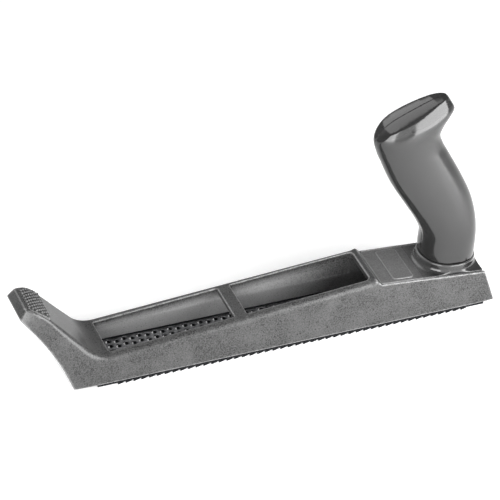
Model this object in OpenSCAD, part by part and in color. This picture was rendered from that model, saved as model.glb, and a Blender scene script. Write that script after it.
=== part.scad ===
// Rasp plane: a die-cast frame over a perforated steel blade, with a moulded handle
// that turns on a round boss. The toe of the blade curls over a pin, and a screw in the
// heel draws it tight. X runs from toe to heel, Z is up, and the teeth stand on Z = 0.
// The origin is under the middle of the frame.

/* [Frame casting] */
// Length of the frame along its lower rim
body_l = 264; // [215:1:320]
// Width of the frame at its lower rim
body_w = 46; // [40:1:58]
// Height of the lower rim above the tips of the teeth
rim_z = 3; // [2.8:0.1:5]
// How far the rim is lifted at its toe and heel corners
corner_lift = 0.4; // [0:0.1:2]
// Length of each lifted corner
corner_run = 12; // [6:1:20]
// Inward lean of the outer sides, in degrees
side_lean = 8.5; // [4:0.5:12]
// Thickness of the side walls at the rim
wall_t = 3; // [2.4:0.1:4]
// Thickness of the top of the frame around the windows
roof_t = 3.5; // [2.5:0.1:5]

/* [Windows] */
// Height of the frame top at the front window
front_z = 20.4; // [17:0.1:25]
// Height of the frame top at the step down to the deck
rear_z = 32.3; // [28:0.1:38]
// Frame left in front of the front window
front_land = 24; // [20:0.5:32]
// Width of the rail beside each window
rail_w = 5.3; // [4:0.1:7]
// Width of the bar between the windows
crossbar_w = 8; // [5:0.5:14]
// Frame left behind the rear window
rear_land = 3.5; // [2.5:0.5:8]
// Radius of the rear window's far corners
window_r = 3; // [1:0.5:5]

/* [Horn] */
// How far the horn reaches in front of the rim
horn_reach = 28.2; // [22:0.5:36]
// Height of the upper edge of the horn's tip
horn_z = 59.4; // [48:0.5:72]
// Length of the slanted end face of the tip
tip_l = 7; // [5:0.5:9]
// Half-width of the tip
tip_half_w = 12.4; // [9:0.1:15]
// Radius of the hollow curve under the horn
under_r = 150; // [100:5:260]
// Radius of the crest that the palm rests on
crest_r = 37; // [25:1:50]
// Radius of the valley between horn and windows
valley_r = 18; // [10:1:22]
// Downward slope of the crest at the tip, in degrees
crest_slope = 20; // [10:1:26]
// Downward slope of the back of the horn, in degrees
back_slope = 48.7; // [42:0.5:56]
// How far the knurled pad stands above the crest
pad_rise = 0.6; // [0.3:0.1:1]

/* [Deck] */
// Length of the deck behind the windows
deck_l = 66.4; // [58:0.2:80]
// Height of the deck at its front end
deck_front_z = 28.7; // [26:0.1:32]
// Height of the deck at the heel
deck_heel_z = 23; // [21.5:0.1:28]
// Run of the slanted heel wall
heel_run = 5.1; // [3:0.1:7]
// Thickness of the moulded deck plate
plate_t = 3; // [2.4:0.1:4]
// Thickness of the casting under the deck plate
ledge_t = 3.2; // [2.8:0.1:4]
// Width of the lip on each side of the deck plate
lip_w = 1.2; // [0.8:0.1:2]
// Outer diameter of the round boss on the deck
boss_d = 35.5; // [32:0.5:37]
// Height of the boss above the deck
boss_h = 6; // [4:0.5:8]
// Distance from the boss axis to the heel end of the deck
boss_back = 18.5; // [17:0.5:24]
// Radius of the cove round the foot of the boss
cove_r = 3; // [1:0.5:4]
// Diameter of the pivot spigot on the boss
spigot_d = 18; // [14:0.5:22]
// Height of the pivot spigot
spigot_h = 3; // [2:0.5:5]
// Length of the blank raised panel on the deck
panel_l = 13.3; // [8:0.1:15]
// Distance from the front of the deck to the raised panel
panel_from = 9; // [6:0.5:12]
// Width of the blank raised panel
panel_w = 31; // [24:0.5:33]

/* [Blade] */
// How far each edge of the blade lies inside the rim
blade_inset = 1; // [0.3:0.1:2]
// Thickness of the blade sheet
blade_t = 0.9; // [0.7:0.1:1.2]
// Height of a tooth below the sheet
tooth_h = 1; // [0.6:0.1:1.4]
// Spacing of the rows of slots along the blade
slot_pitch = 9.6; // [8:0.1:14]
// Length of one slot across the blade
slot_l = 4; // [2.5:0.1:5]
// Width of one slot
slot_w = 1.6; // [1:0.1:2.5]
// Number of slots in a row
slots_across = 5; // [3:1:6]
// Diameter of the toe pin
toe_pin_d = 4; // [3:0.1:5]
// Height of the toe pin
toe_pin_z = 8; // [7:0.1:10]
// Width of the tab that curls over the toe pin
toe_tab_w = 24; // [16:1:30]
// Height of the heel tab above the teeth
heel_tab_z = 14; // [12:0.5:15]
// Outer width of the forked heel tab
heel_tab_w = 18; // [14:0.5:22]

/* [Tension screw] */
// Thread diameter of the tension screw
tension_d = 4; // [3:0.5:5]
// Height of the screw axis above the teeth
tension_z = 7.8; // [7:0.1:9]
// Length of the screw under its head
tension_l = 20; // [18:1:24]
// Diameter of the screw head
tension_head_d = 8; // [7:0.5:10]
// Height of the screw head
tension_head_h = 2.6; // [2:0.1:3]
// Length of the draw nut
nut_l = 5; // [4:0.1:6]
// Width of the draw nut
nut_w = 12; // [10:0.5:14]
// Wall of the draw nut above and below the thread
nut_wall = 1.3; // [1:0.1:1.6]

/* [Handle] */
// Height of the handle above its base
handle_h = 109; // [90:1:130]
// How far the middle of the head leans ahead of the boss
handle_reach = 26; // [20:1:32]
// Depth of the grip from front to back
grip_d = 43; // [38:1:48]
// Width of the handle near its base
grip_w = 35; // [32:0.5:38]
// Gap between the boss and the handle, filled by the friction washer
swivel_gap = 1; // [0.6:0.1:2]
// Wall of the handle shells
shell_t = 3; // [2:0.5:4]
// Length of the handle bolt under its head
bolt_l = 50; // [45:1:60]
// Thread diameter of the handle bolt
bolt_d = 6; // [5:1:6]

/* [Fits] */
// Radial clearance of a turning or sliding fit
run_fit = 0.05; // [0.02:0.01:0.1]
// Gap between parts that pass without touching
free_gap = 0.3; // [0.2:0.05:0.5]
// Gap round a moulded part set in the casting
seat_gap = 0.15; // [0.05:0.05:0.3]
// Radial clearance of a screw in a plain hole
bolt_gap = 0.3; // [0.2:0.05:0.5]

/* [Hidden] */
$fn = 48;
eps = 0.01;
big = 400;

// Frame: places along X
toe_x = -body_l / 2;
heel_x = body_l / 2;
corner_z = rim_z + corner_lift;
window_x0 = toe_x + front_land;
deck_end_x = heel_x - heel_run;
deck_x0 = deck_end_x - deck_l;
step_run = 2.5;
frame_end_x = deck_x0 - step_run;
window_x1 = frame_end_x - rear_land;
window_l = (window_x1 - window_x0 - crossbar_w) / 2;
frame_slope = atan((rear_z - front_z) / (frame_end_x - window_x0));
deck_tilt = atan((deck_front_z - deck_heel_z) / deck_l);
boss_x = deck_end_x - boss_back;
deck_front = -(boss_x - deck_x0) / cos(deck_tilt);
toe_wall_x = toe_x + 5;
heel_wall_x = heel_x - 6;
ledge_drop = plate_t + ledge_t;

function frame_z(x) = front_z + (x - window_x0) * tan(frame_slope);
function deck_z(x) = deck_front_z - (x - deck_x0) * tan(deck_tilt);
function under_deck_z(x) = deck_z(x) - ledge_drop / cos(deck_tilt);
function heel_face_x(z) = heel_x - (z - corner_z) / (deck_heel_z - corner_z) * heel_run;
function half_w(z) = body_w / 2 - (z - corner_z) * tan(side_lean);
window_w = 2 * (half_w(front_z) - rail_w);
plate_half_w = half_w(deck_front_z) - lip_w;

// Horn: corners and arcs
tip_low = [toe_x - horn_reach, horn_z - tip_l * sin(54)];
tip_high = [tip_low[0] + tip_l * cos(54), horn_z];
crest_c = tip_high - crest_r * [sin(crest_slope), cos(crest_slope)];
crest_end = crest_c + crest_r * [sin(back_slope), cos(back_slope)];
valley_turn = back_slope + frame_slope;
valley_foot_x = (crest_end[1] + crest_end[0] * tan(back_slope)
                 - front_z + window_x0 * tan(frame_slope))
                / (tan(back_slope) + tan(frame_slope));
valley_foot = [valley_foot_x, frame_z(valley_foot_x)];
valley_run = valley_r * tan(valley_turn / 2);
valley_c = valley_foot + valley_run * [cos(frame_slope), sin(frame_slope)]
           + valley_r * [-sin(frame_slope), cos(frame_slope)];

// Arc of centre c and radius r, from angle a0 to a1
function arc(c, r, a0, a1, n = 12) =
    [for (i = [0:n]) let (a = a0 + (a1 - a0) * i / n) c + r * [cos(a), sin(a)]];

// Arc of radius r from p to q whose centre lies to the left of the way there
function arc_between(p, q, r, n = 12) =
    let (d = q - p, s = norm(d), m = (p + q) / 2, h = sqrt(r * r - s * s / 4),
         c = m + h * [-d[1], d[0]] / s,
         a0 = atan2(p[1] - c[1], p[0] - c[0]), a1 = atan2(q[1] - c[1], q[0] - c[0]),
         turn = (a1 - a0 + 540) % 360 - 180)
    arc(c, r, a0, a0 + turn, n);

crest_arc = arc(crest_c, crest_r, 90 - crest_slope, 90 - back_slope);
valley_arc = arc(valley_c, valley_r, 270 - back_slope, 270 + frame_slope);
under_arc = arc_between([toe_x, corner_z], tip_low, under_r, 14);

// Blade and its anchors
blade_w = body_w - 2 * blade_inset;
nut_h = tension_d + 2 * nut_wall;
sheet_z = tooth_h;
sheet_top = sheet_z + blade_t;
curl_in = toe_pin_d / 2 + run_fit;
curl_out = curl_in + blade_t;
unhook_run = toe_pin_d / 2 + 0.6;
toe_pin_x = toe_wall_x + unhook_run + curl_out;
sheet_x0 = toe_pin_x + 4;
blade_end_x = heel_wall_x - 0.5;
ramp_x = toe_pin_x + 12;
seat_x = heel_wall_x + 2;
clip_t = 0.8;
boss_face_x = heel_wall_x - 1.4;
clip_x = boss_face_x - free_gap - clip_t;
tab_t = 1.2;
tab_x = clip_x - 0.4 - tab_t;
nut_x = tab_x - 0.2 - nut_l;
washer_t = 1;
rib_t = 2.5;

// Handle, measured along the boss axis from the deck
handle_base = boss_h + swivel_gap;
bolt_washer_t = 1.2;
spring_t = 1.3;
bolt_head_h = 4;
bolt_af = 10;
bolt_under = -ledge_drop - bolt_washer_t - spring_t;
bolt_top = bolt_under + bolt_l;
m_nut_h = 5;
nut_plate_t = 2;
nut_plate_w = 14;
m_nut_z = bolt_top - 0.3 - m_nut_h;
nut_plate_z = m_nut_z - nut_plate_t;
handle_base_z = deck_z(boss_x) + handle_base * cos(deck_tilt);
post_d = 7;
plate_screw_x = deck_x0 + 9;
plate_screw_y = window_w / 2 - 5.5;
post_hole_gap = 0.2;

// Sections of the handle: share of its height, offset ahead of the boss axis,
// half depth and half width, each as a share of the reach, grip depth and grip width
sections = [
    [0.00, 0.00, 0.365, 0.450], [0.05, -0.01, 0.380, 0.475], [0.16, -0.03, 0.382, 0.470],
    [0.25, 0.06, 0.425, 0.445], [0.36, 0.24, 0.474, 0.410], [0.50, 0.53, 0.500, 0.380],
    [0.66, 0.84, 0.484, 0.360], [0.72, 0.95, 0.474, 0.360], [0.79, 1.01, 0.470, 0.370],
    [0.84, 0.90, 0.472, 0.370], [0.87, 0.81, 0.466, 0.355], [0.90, 0.64, 0.414, 0.325],
    [0.93, 0.43, 0.321, 0.280], [0.966, 0.25, 0.181, 0.200], [1.00, 0.14, 0.035, 0.100]];

function clamp(v, lo, hi) = min(max(v, lo), hi);
function slope_at(k, i) =
    let (a = max(i - 1, 0), b = min(i + 1, len(sections) - 1))
    (sections[b][k] - sections[a][k]) / (sections[b][0] - sections[a][0]);

// Smooth curve through column k of the sections at height share t
function section_value(k, t) =
    let (last = len(sections) - 2,
         i = clamp(max([for (j = [0:last]) if (sections[j][0] <= t) j]), 0, last),
         h = sections[i + 1][0] - sections[i][0],
         s = clamp((t - sections[i][0]) / h, 0, 1),
         p = sections[i][k], q = sections[i + 1][k],
         m = h * slope_at(k, i), w = h * slope_at(k, i + 1))
    p * (2 * s * s * s - 3 * s * s + 1) + m * (s * s * s - 2 * s * s + s)
    + q * (3 * s * s - 2 * s * s * s) + w * (s * s * s - s * s);

// Half ring of a handle section at share t, drawn in by the wall, on the +Y side
function half_ring(t, wall, n = 14) =
    let (c = boss_x + deck_off(t) - handle_reach * section_value(1, t),
         a = max(grip_d * section_value(2, t) - wall, 0.5),
         b = max(grip_w * section_value(3, t) - wall, 0.5),
         z = handle_base_z - 2 + (handle_h + 2) * t)
    [for (j = [0:n]) let (u = 180 * j / n, p = 0.85)
        [c + a * sign(cos(u)) * pow(abs(cos(u)), p), b * pow(sin(u), p), z]];

function deck_off(t) = handle_base * sin(deck_tilt) * (1 - t);

// Solid through half rings, closed by a flat face on the middle plane
module half_loft(shares, wall) {
    rings = [for (t = shares) half_ring(t, wall)];
    n = len(rings[0]);
    m = len(rings);
    points = [for (r = rings) each r];
    sides = [for (i = [0:m - 2]) for (j = [0:n - 1])
        [i * n + j, (i + 1) * n + j, (i + 1) * n + (j + 1) % n, i * n + (j + 1) % n]];
    floor_face = [for (j = [0:n - 1]) j];
    top_face = [for (j = [n - 1:-1:0]) (m - 1) * n + j];
    polyhedron(points = points, faces = concat(sides, [floor_face, top_face]),
               convexity = 6);
}

module on_deck() {
    translate([boss_x, 0, deck_z(boss_x)]) rotate([0, deck_tilt, 0]) children();
}

module along_y(outline, half) {
    rotate([90, 0, 0]) linear_extrude(height = 2 * half, center = true) polygon(outline);
}

module along_x(outline) {
    rotate([90, 0, 90]) linear_extrude(height = big, center = true) polygon(outline);
}

module tube(outer_r, inner_r, h) {
    difference() {
        cylinder(r = outer_r, h = h);
        translate([0, 0, -1]) cylinder(r = inner_r, h = h + 2);
    }
}

module hex(af, h) { cylinder(d = af / cos(30), h = h, $fn = 6); }

module rounded_plate(l, w, r, h) {
    linear_extrude(height = h) {
        square([l - 2 * r, w], center = true);
        square([l, w - 2 * r], center = true);
        for (sx = [-1, 1]) for (sy = [-1, 1])
            translate([sx * (l / 2 - r), sy * (w / 2 - r)]) circle(r = r);
    }
}

// Side view of the whole casting, from the heel corner round by the toe
module casting_blank() {
    outline = concat(
        [[heel_x, corner_z], [heel_x - corner_run, rim_z], [toe_x + corner_run, rim_z]],
        under_arc, crest_arc, valley_arc,
        [[frame_end_x, rear_z], [deck_x0, deck_front_z], [deck_end_x, deck_heel_z]]);
    top_z = horn_z + 2;
    intersection() {
        along_y(outline, body_w);
        along_x([[-body_w / 2, corner_z], [-half_w(top_z), top_z], [half_w(top_z), top_z],
                 [body_w / 2, corner_z], [body_w / 2, 0], [-body_w / 2, 0]]);
        linear_extrude(height = big)
            polygon([[toe_x - horn_reach - 1, -tip_half_w], [toe_x - horn_reach + 9, -half_w(horn_z) - 1],
                     [toe_x, -body_w], [heel_x + 1, -body_w], [heel_x + 1, body_w], [toe_x, body_w],
                     [toe_x - horn_reach + 9, half_w(horn_z) + 1], [toe_x - horn_reach - 1, tip_half_w]]);
    }
}

// Hollow of the frame, open below, as wide as the windows at its top
module casting_hollow() {
    roof_x0 = window_x0 - 14;
    in_low = body_w / 2 - wall_t;
    in_lean = (in_low - window_w / 2) / (front_z - roof_t - rim_z);
    wide = in_low + rim_z * in_lean;
    intersection() {
        along_y([[toe_wall_x, 0], [toe_wall_x, 12], [roof_x0, front_z - roof_t],
                 [window_x0, front_z - roof_t], [window_x1, frame_z(window_x1) - roof_t],
                 [deck_x0, under_deck_z(deck_x0)], [heel_wall_x, under_deck_z(heel_wall_x)],
                 [heel_wall_x, 0]], body_w);
        along_x([[-wide, 0], [-window_w / 2, front_z - roof_t], [-window_w / 2, big],
                 [window_w / 2, big], [window_w / 2, front_z - roof_t], [wide, 0]]);
    }
}

module window_cut(x0, l) {
    translate([x0, -window_w / 2, 6]) cube([l, window_w, big]);
}

module window_cut_round(x0, l) {
    translate([x0 + l / 2, 0, 6]) rounded_plate(l, window_w, window_r, big);
    translate([x0, -window_w / 2, 6]) cube([l / 2, window_w, big]);
}

// Two pockets under the horn, parted by a rib
module horn_pockets() {
    gap = 4;
    in_lean_half = half_w(tip_low[1]) - gap;
    top = arc(crest_c, crest_r - gap, 90 - crest_slope - 5, 90 - back_slope, 8);
    outline = concat([[toe_x - 3.5, 14]], [[tip_low[0] - 4, tip_low[1] - 6]],
                     [[tip_low[0] + 4.5, tip_low[1] - 1]], top, [[toe_x + 1, 28]]);
    for (side = [-1, 1])
        translate([0, side * (in_lean_half / 2 + 0.9), 0]) along_y(outline, in_lean_half / 2 - 0.9);
}

module body_casting() color("dimgray") {
    pad_from = 90 - crest_slope - 3;
    pad_to = 90 - back_slope + 3;
    rib_x0 = nut_x - 9;
    rib_low = tension_z - nut_h / 2;
    difference() {
        union() {
            difference() {
                casting_blank();
                casting_hollow();
                horn_pockets();
            }
            // pad on the crest
            along_y(concat(arc(crest_c, crest_r + pad_rise, pad_from, pad_to),
                           arc(crest_c, crest_r - 1, pad_to, pad_from)),
                    half_w(horn_z) - 1.2);
            // ribs that guide the draw nut, under the deck
            for (side = [-1, 1])
                translate([rib_x0, side * (nut_w / 2 + free_gap + rib_t / 2) - rib_t / 2, rib_low])
                    cube([tab_x - 0.6 - rib_x0, rib_t, deck_z(tab_x) - plate_t - 1 - rib_low]);
            // inner face that the tension screw turns against
            translate([boss_face_x, 0, tension_z]) rotate([0, 90, 0]) cylinder(d = 12, h = 3);
        }
        window_cut(window_x0, window_l);
        window_cut_round(window_x0 + window_l + crossbar_w, window_l);
        // recess for the deck plate
        on_deck() translate([deck_front, -plate_half_w, -plate_t])
            cube([big, 2 * plate_half_w, 3 * plate_t]);
        // bolt and plate screws
        on_deck() translate([0, 0, -20]) cylinder(d = bolt_d + 2 * bolt_gap, h = 40);
        for (side = [-1, 1]) on_deck()
            translate([plate_screw_x - boss_x, side * plate_screw_y, -ledge_drop - 2])
                cylinder(d = post_d + 2 * post_hole_gap, h = ledge_drop + 4);
        // toe pin: right through the far wall, blind in the near wall
        translate([toe_pin_x, -(body_w / 2 - wall_t) - 1.2, toe_pin_z]) rotate([-90, 0, 0])
            cylinder(d = toe_pin_d, h = body_w);
        // tension screw and the seat of its head
        translate([boss_face_x - 1, 0, tension_z]) rotate([0, 90, 0])
            cylinder(d = tension_d + 2 * bolt_gap, h = 12);
        translate([seat_x, 0, tension_z]) rotate([0, 90, 0])
            cylinder(d = tension_head_d + 3, h = 20);
    }
}

// Places of the slots: rows along X, every other row shifted by half a slot spacing
module at_slots() {
    first = ceil((ramp_x + 3) / slot_pitch);
    last = floor((tab_x - 6) / slot_pitch);
    spacing = (blade_w - 4) / slots_across;
    for (i = [first:last]) {
        count = slots_across - abs(i) % 2;
        for (j = [0:count - 1])
            translate([i * slot_pitch, (j - (count - 1) / 2) * spacing]) children();
    }
}

// Perforated steel sheet: shallow lips, a curl over the toe pin and a forked heel tab
module blade() color([0.25, 0.25, 0.27]) {
    low = toe_pin_z - curl_out;
    translate([0, 0, sheet_z]) linear_extrude(height = blade_t) difference() {
        translate([sheet_x0, -blade_w / 2]) square([blade_end_x - sheet_x0, blade_w]);
        at_slots() translate([-slot_w, -slot_l / 2]) square([slot_w, slot_l]);
        // openings left by the toe tab and the heel tab
        translate([sheet_x0 - 1, -toe_tab_w / 2 - 0.5]) square([ramp_x - sheet_x0 + 1, toe_tab_w + 1]);
        translate([tab_x + tab_t, -heel_tab_w / 2]) square([blade_end_x, heel_tab_w]);
    }
    // teeth, pressed down behind the slots, with the cutting edge towards the toe
    at_slots() along_y([[0, sheet_z + 0.2], [0, 0], [0.6, 0], [2.6, sheet_z + 0.2]], slot_l / 2);
    // lips along both edges
    for (side = [-1, 1])
        translate([sheet_x0, side * (blade_w - blade_t) / 2 - blade_t / 2, sheet_z])
            cube([blade_end_x - sheet_x0, blade_t, rim_z - free_gap - sheet_z]);
    // ramp and curl at the toe
    along_y([[ramp_x, sheet_z], [toe_pin_x, low], [toe_pin_x, low + blade_t], [ramp_x, sheet_top]],
            toe_tab_w / 2);
    difference() {
        translate([toe_pin_x, toe_tab_w / 2, toe_pin_z]) rotate([90, 0, 0])
            tube(curl_out, curl_in, toe_tab_w);
        translate([toe_pin_x, -toe_tab_w, toe_pin_z - curl_out])
            cube([curl_out + 1, 2 * toe_tab_w, 2 * curl_out]);
    }
    // forked heel tab
    difference() {
        translate([tab_x, -heel_tab_w / 2, sheet_z])
            cube([tab_t, heel_tab_w, heel_tab_z - sheet_z]);
        translate([tab_x - 1, -tension_d / 2 - 0.7, tension_z - tension_d / 2 - 0.7])
            cube([tab_t + 2, tension_d + 1.4, big]);
    }
}

module toe_pin() color("silver") {
    near = body_w / 2 - wall_t + 1.2;
    translate([toe_pin_x, -near, toe_pin_z]) rotate([-90, 0, 0])
        cylinder(d = toe_pin_d, h = near + half_w(toe_pin_z) - 0.4);
}

// Sliding nut that pulls the heel tab; two ribs keep it from turning
module draw_nut() color("gray") {
    difference() {
        translate([nut_x, -nut_w / 2, tension_z - nut_h / 2]) cube([nut_l, nut_w, nut_h]);
        translate([nut_x - 1, 0, tension_z]) rotate([0, 90, 0])
            cylinder(r = tension_d / 2 + run_fit, h = nut_l + 2);
    }
}

module tension_screw() color("silver") {
    head_x = seat_x + washer_t;
    translate([head_x, 0, tension_z]) rotate([0, 90, 0]) {
        difference() {
            union() {
                cylinder(d = tension_head_d, h = tension_head_h);
                translate([0, 0, -tension_l]) cylinder(d = tension_d, h = tension_l + eps);
            }
            // driver slot
            translate([-tension_head_d, -0.6, tension_head_h - 1.2])
                cube([2 * tension_head_d, 1.2, 2]);
            // groove of the retaining clip
            translate([0, 0, clip_x - head_x - 0.05])
                tube(tension_d, tension_d / 2 - 0.5, clip_t + 0.1);
        }
    }
}

module tension_washer() color("silver")
    translate([seat_x, 0, tension_z]) rotate([0, 90, 0])
        tube(tension_head_d / 2 + 0.5, tension_d / 2 + 0.2, washer_t);

module screw_clip() color("gray")
    translate([clip_x, 0, tension_z]) rotate([0, 90, 0]) difference() {
        tube(tension_d / 2 + 1.6, tension_d / 2 - 0.5, clip_t);
        translate([0, -1.2, -1]) cube([tension_d, 2.4, clip_t + 2]);
    }

// Moulded cover of the deck with the round boss that carries the handle
module deck_plate() color([0.22, 0.22, 0.22]) {
    front = deck_front + seat_gap;
    back = boss_back / cos(deck_tilt) - 0.3;
    half = plate_half_w - seat_gap;
    on_deck() difference() {
        union() {
            translate([front, -half, -plate_t]) cube([back - front, 2 * half, plate_t]);
            translate([deck_front + panel_from + panel_l / 2, 0, -eps])
                rounded_plate(panel_l, panel_w, 2.5, 0.5 + eps);
            cylinder(d = boss_d, h = boss_h);
            cylinder(d = spigot_d, h = boss_h + spigot_h);
            intersection() {
                rotate_extrude() difference() {
                    square([boss_d / 2 + cove_r, cove_r]);
                    translate([boss_d / 2 + cove_r, cove_r]) circle(r = cove_r);
                }
                translate([front, -half, -1]) cube([back - front, 2 * half, boss_h]);
            }
            for (side = [-1, 1])
                translate([plate_screw_x - boss_x, side * plate_screw_y, -ledge_drop])
                    cylinder(d = post_d, h = ledge_t + 1);
        }
        translate([0, 0, -plate_t - 1])
            cylinder(d = bolt_d + 2 * bolt_gap, h = boss_h + spigot_h + plate_t + 2);
        for (side = [-1, 1])
            translate([plate_screw_x - boss_x, side * plate_screw_y, -ledge_drop - 1])
                cylinder(d = 3, h = ledge_drop - 0.2);
    }
}

module at_plate_screws()
    on_deck() for (side = [-1, 1])
        translate([plate_screw_x - boss_x, side * plate_screw_y, -ledge_drop]) children();

module deck_screws() color("silver")
    at_plate_screws() difference() {
        union() {
            translate([0, 0, -1 - 2.4]) cylinder(d = 6.4, h = 2.4);
            translate([0, 0, -1 - eps]) cylinder(d = 3, h = 1 + ledge_drop - 1.4);
        }
        for (a = [0, 90]) rotate([0, 0, a]) translate([-1.8, -0.4, -4]) cube([3.6, 0.8, 1.6]);
    }

module deck_washers() color("silver")
    at_plate_screws() translate([0, 0, -1]) tube(5, 1.6, 1);

module swivel_washer() color("black")
    on_deck() translate([0, 0, boss_h]) tube(boss_d / 2 - 3, spigot_d / 2 + 0.2, swivel_gap - 0.05);

// The three screws that join the shells: share of the height, offset ahead of the grip's middle
SHELL_SCREWS = [[0.15, 10], [0.46, 0], [0.735, 0]];
module at_shell_screws()
    for (s = SHELL_SCREWS)
        translate([boss_x - handle_reach * section_value(1, s[0]) - s[1], 0,
                   handle_base_z + handle_h * s[0]])
            rotate([-90, 0, 0]) children();

SHARES = [0, 0.02, 0.05, 0.1, 0.16, 0.25, 0.36, 0.5, 0.58, 0.66, 0.72, 0.79, 0.84, 0.87, 0.9,
          0.93, 0.966, 1];
HOLLOW_SHARES = [0.06, 0.1, 0.16, 0.25, 0.36, 0.5, 0.66, 0.72, 0.79, 0.84, 0.87, 0.9, 0.93];

// Half of the handle on the +Y side, hollow, with posts for the bolt and the screws
module handle_shell() {
    difference() {
        union() {
            difference() {
                half_loft(SHARES, 0);
                translate([0, -1, 0]) half_loft(HOLLOW_SHARES, shell_t);
            }
            intersection() {
                half_loft(SHARES, 0.5);
                union() {
                    on_deck() cylinder(d = 19, h = m_nut_z + 12);
                    at_shell_screws() translate([0, 0, 0.001]) cylinder(d = 8, h = grip_w);
                }
            }
        }
        // base plane, bolt hole, spigot socket and nut pocket
        on_deck() {
            translate([-big / 2, -big / 2, handle_base - big]) cube(big);
            cylinder(d = bolt_d + 2 * bolt_gap, h = bolt_top + 3);
            cylinder(d = spigot_d + 4 * run_fit, h = boss_h + spigot_h + 0.5);
            translate([0, 0, m_nut_z - 0.1]) hex(bolt_af + 0.2, m_nut_h + 0.4);
            translate([-nut_plate_w / 2 - 0.1, -nut_plate_w / 2 - 0.1, nut_plate_z])
                cube([nut_plate_w + 0.2, nut_plate_w + 0.2, nut_plate_t + 0.1]);
        }
    }
}

module handle_right() color([0.3, 0.3, 0.3])
    difference() {
        handle_shell();
        at_shell_screws() {
            translate([0, 0, -1]) cylinder(d = 3.8, h = grip_w);
            translate([0, 0, 8]) cylinder(d = 7.4, h = grip_w);
        }
    }

module handle_left() color([0.34, 0.34, 0.34])
    difference() {
        mirror([0, 1, 0]) handle_shell();
        at_shell_screws() translate([0, 0, -8.2]) cylinder(d = 3, h = 9);
    }

module handle_screws() color("silver")
    at_shell_screws() difference() {
        union() {
            translate([0, 0, -8]) cylinder(d = 3, h = 16 + eps);
            translate([0, 0, 8]) cylinder(d = 6.4, h = 2.2);
        }
        for (a = [0, 90]) rotate([0, 0, a]) translate([-1.8, -0.4, 9]) cube([3.6, 0.8, 1.6]);
    }

module handle_bolt() color("silver")
    on_deck() translate([0, 0, bolt_under]) {
        translate([0, 0, -bolt_head_h]) hex(bolt_af, bolt_head_h);
        translate([0, 0, -eps]) cylinder(d = bolt_d, h = bolt_l + eps);
    }

module bolt_washer() color("silver")
    on_deck() translate([0, 0, -ledge_drop - bolt_washer_t])
        tube(6, bolt_d / 2 + 0.2, bolt_washer_t);

module bolt_spring_washer() color("gray")
    on_deck() translate([0, 0, bolt_under]) difference() {
        tube(bolt_af / 2, bolt_d / 2 + 0.1, spring_t);
        rotate([0, 0, 200]) translate([0, -0.5, -1]) cube([bolt_af, 1, spring_t + 2]);
    }

module nut_plate() color("silver")
    on_deck() translate([0, 0, nut_plate_z]) difference() {
        translate([-nut_plate_w / 2, -nut_plate_w / 2, 0]) cube([nut_plate_w, nut_plate_w, nut_plate_t]);
        translate([0, 0, -1]) cylinder(d = bolt_d + 0.4, h = nut_plate_t + 2);
    }

module handle_nut() color("silver")
    on_deck() translate([0, 0, m_nut_z]) difference() {
        hex(bolt_af, m_nut_h);
        translate([0, 0, -1]) cylinder(d = bolt_d, h = m_nut_h + 2);
    }

body_casting();
blade();
toe_pin();
draw_nut();
tension_screw();
tension_washer();
screw_clip();
deck_plate();
deck_screws();
deck_washers();
swivel_washer();
handle_left();
handle_right();
handle_screws();
handle_bolt();
bolt_washer();
bolt_spring_washer();
nut_plate();
handle_nut();
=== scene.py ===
# %% [markdown]
# # A rasp plane with a swivelling handle
# This lesson dresses a finished CAD model for the eye. The plane is a die-cast frame
# with a turned-up horn for the leading hand, a perforated steel blade stretched along
# its sole, and a moulded handle bolted to a round boss on the deck.
#
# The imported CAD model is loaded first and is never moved: it fixes every place and
# size. Pieces whose CAD shape is too plain get a finer mesh that stands for them.
# Fasteners keep their CAD mesh and only get a better finish.

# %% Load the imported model
import math

import bmesh
import bpy
import numpy as np
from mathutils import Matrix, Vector


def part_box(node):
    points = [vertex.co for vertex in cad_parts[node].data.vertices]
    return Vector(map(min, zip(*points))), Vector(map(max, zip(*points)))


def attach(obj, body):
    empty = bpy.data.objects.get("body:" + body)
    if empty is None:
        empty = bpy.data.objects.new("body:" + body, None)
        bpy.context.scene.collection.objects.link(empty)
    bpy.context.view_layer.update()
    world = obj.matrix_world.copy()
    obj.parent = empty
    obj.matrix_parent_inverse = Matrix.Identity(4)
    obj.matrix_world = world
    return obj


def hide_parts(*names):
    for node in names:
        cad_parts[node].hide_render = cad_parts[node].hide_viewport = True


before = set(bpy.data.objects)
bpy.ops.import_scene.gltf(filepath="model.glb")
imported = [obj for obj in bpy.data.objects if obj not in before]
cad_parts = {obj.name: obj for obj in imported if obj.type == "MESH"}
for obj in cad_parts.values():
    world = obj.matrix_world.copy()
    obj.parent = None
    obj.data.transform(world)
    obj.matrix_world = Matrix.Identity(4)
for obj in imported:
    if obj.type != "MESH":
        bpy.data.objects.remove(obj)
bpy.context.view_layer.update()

MM = 0.001

# %% [markdown]
# ## Camera
# The camera stands well back with a long lens, as a catalogue photographer does, so
# that the plane keeps true proportions. It looks down on the near side, a little
# from the toe. Depth of field stays off: every part of a tool has to be sharp.

# %% Camera
azimuth, elevation = math.radians(-20.15), math.radians(34.74)
aim = Vector((-0.01536, 0.0, 0.0597))
back = Vector((math.sin(azimuth) * math.cos(elevation),
               -math.cos(azimuth) * math.cos(elevation), math.sin(elevation)))
camera = bpy.data.objects.new("camera", bpy.data.cameras.new("camera"))
bpy.context.scene.collection.objects.link(camera)
camera.location = aim + 2.112 * back
camera.rotation_mode = "QUATERNION"
camera.rotation_quaternion = (-back).to_track_quat("-Z", "Y")
camera.data.sensor_width, camera.data.lens = 36, 260.37
camera.data.clip_start, camera.data.clip_end = 0.1, 30
bpy.context.scene.camera = camera
print("camera at", [round(c, 3) for c in camera.location])

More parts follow.
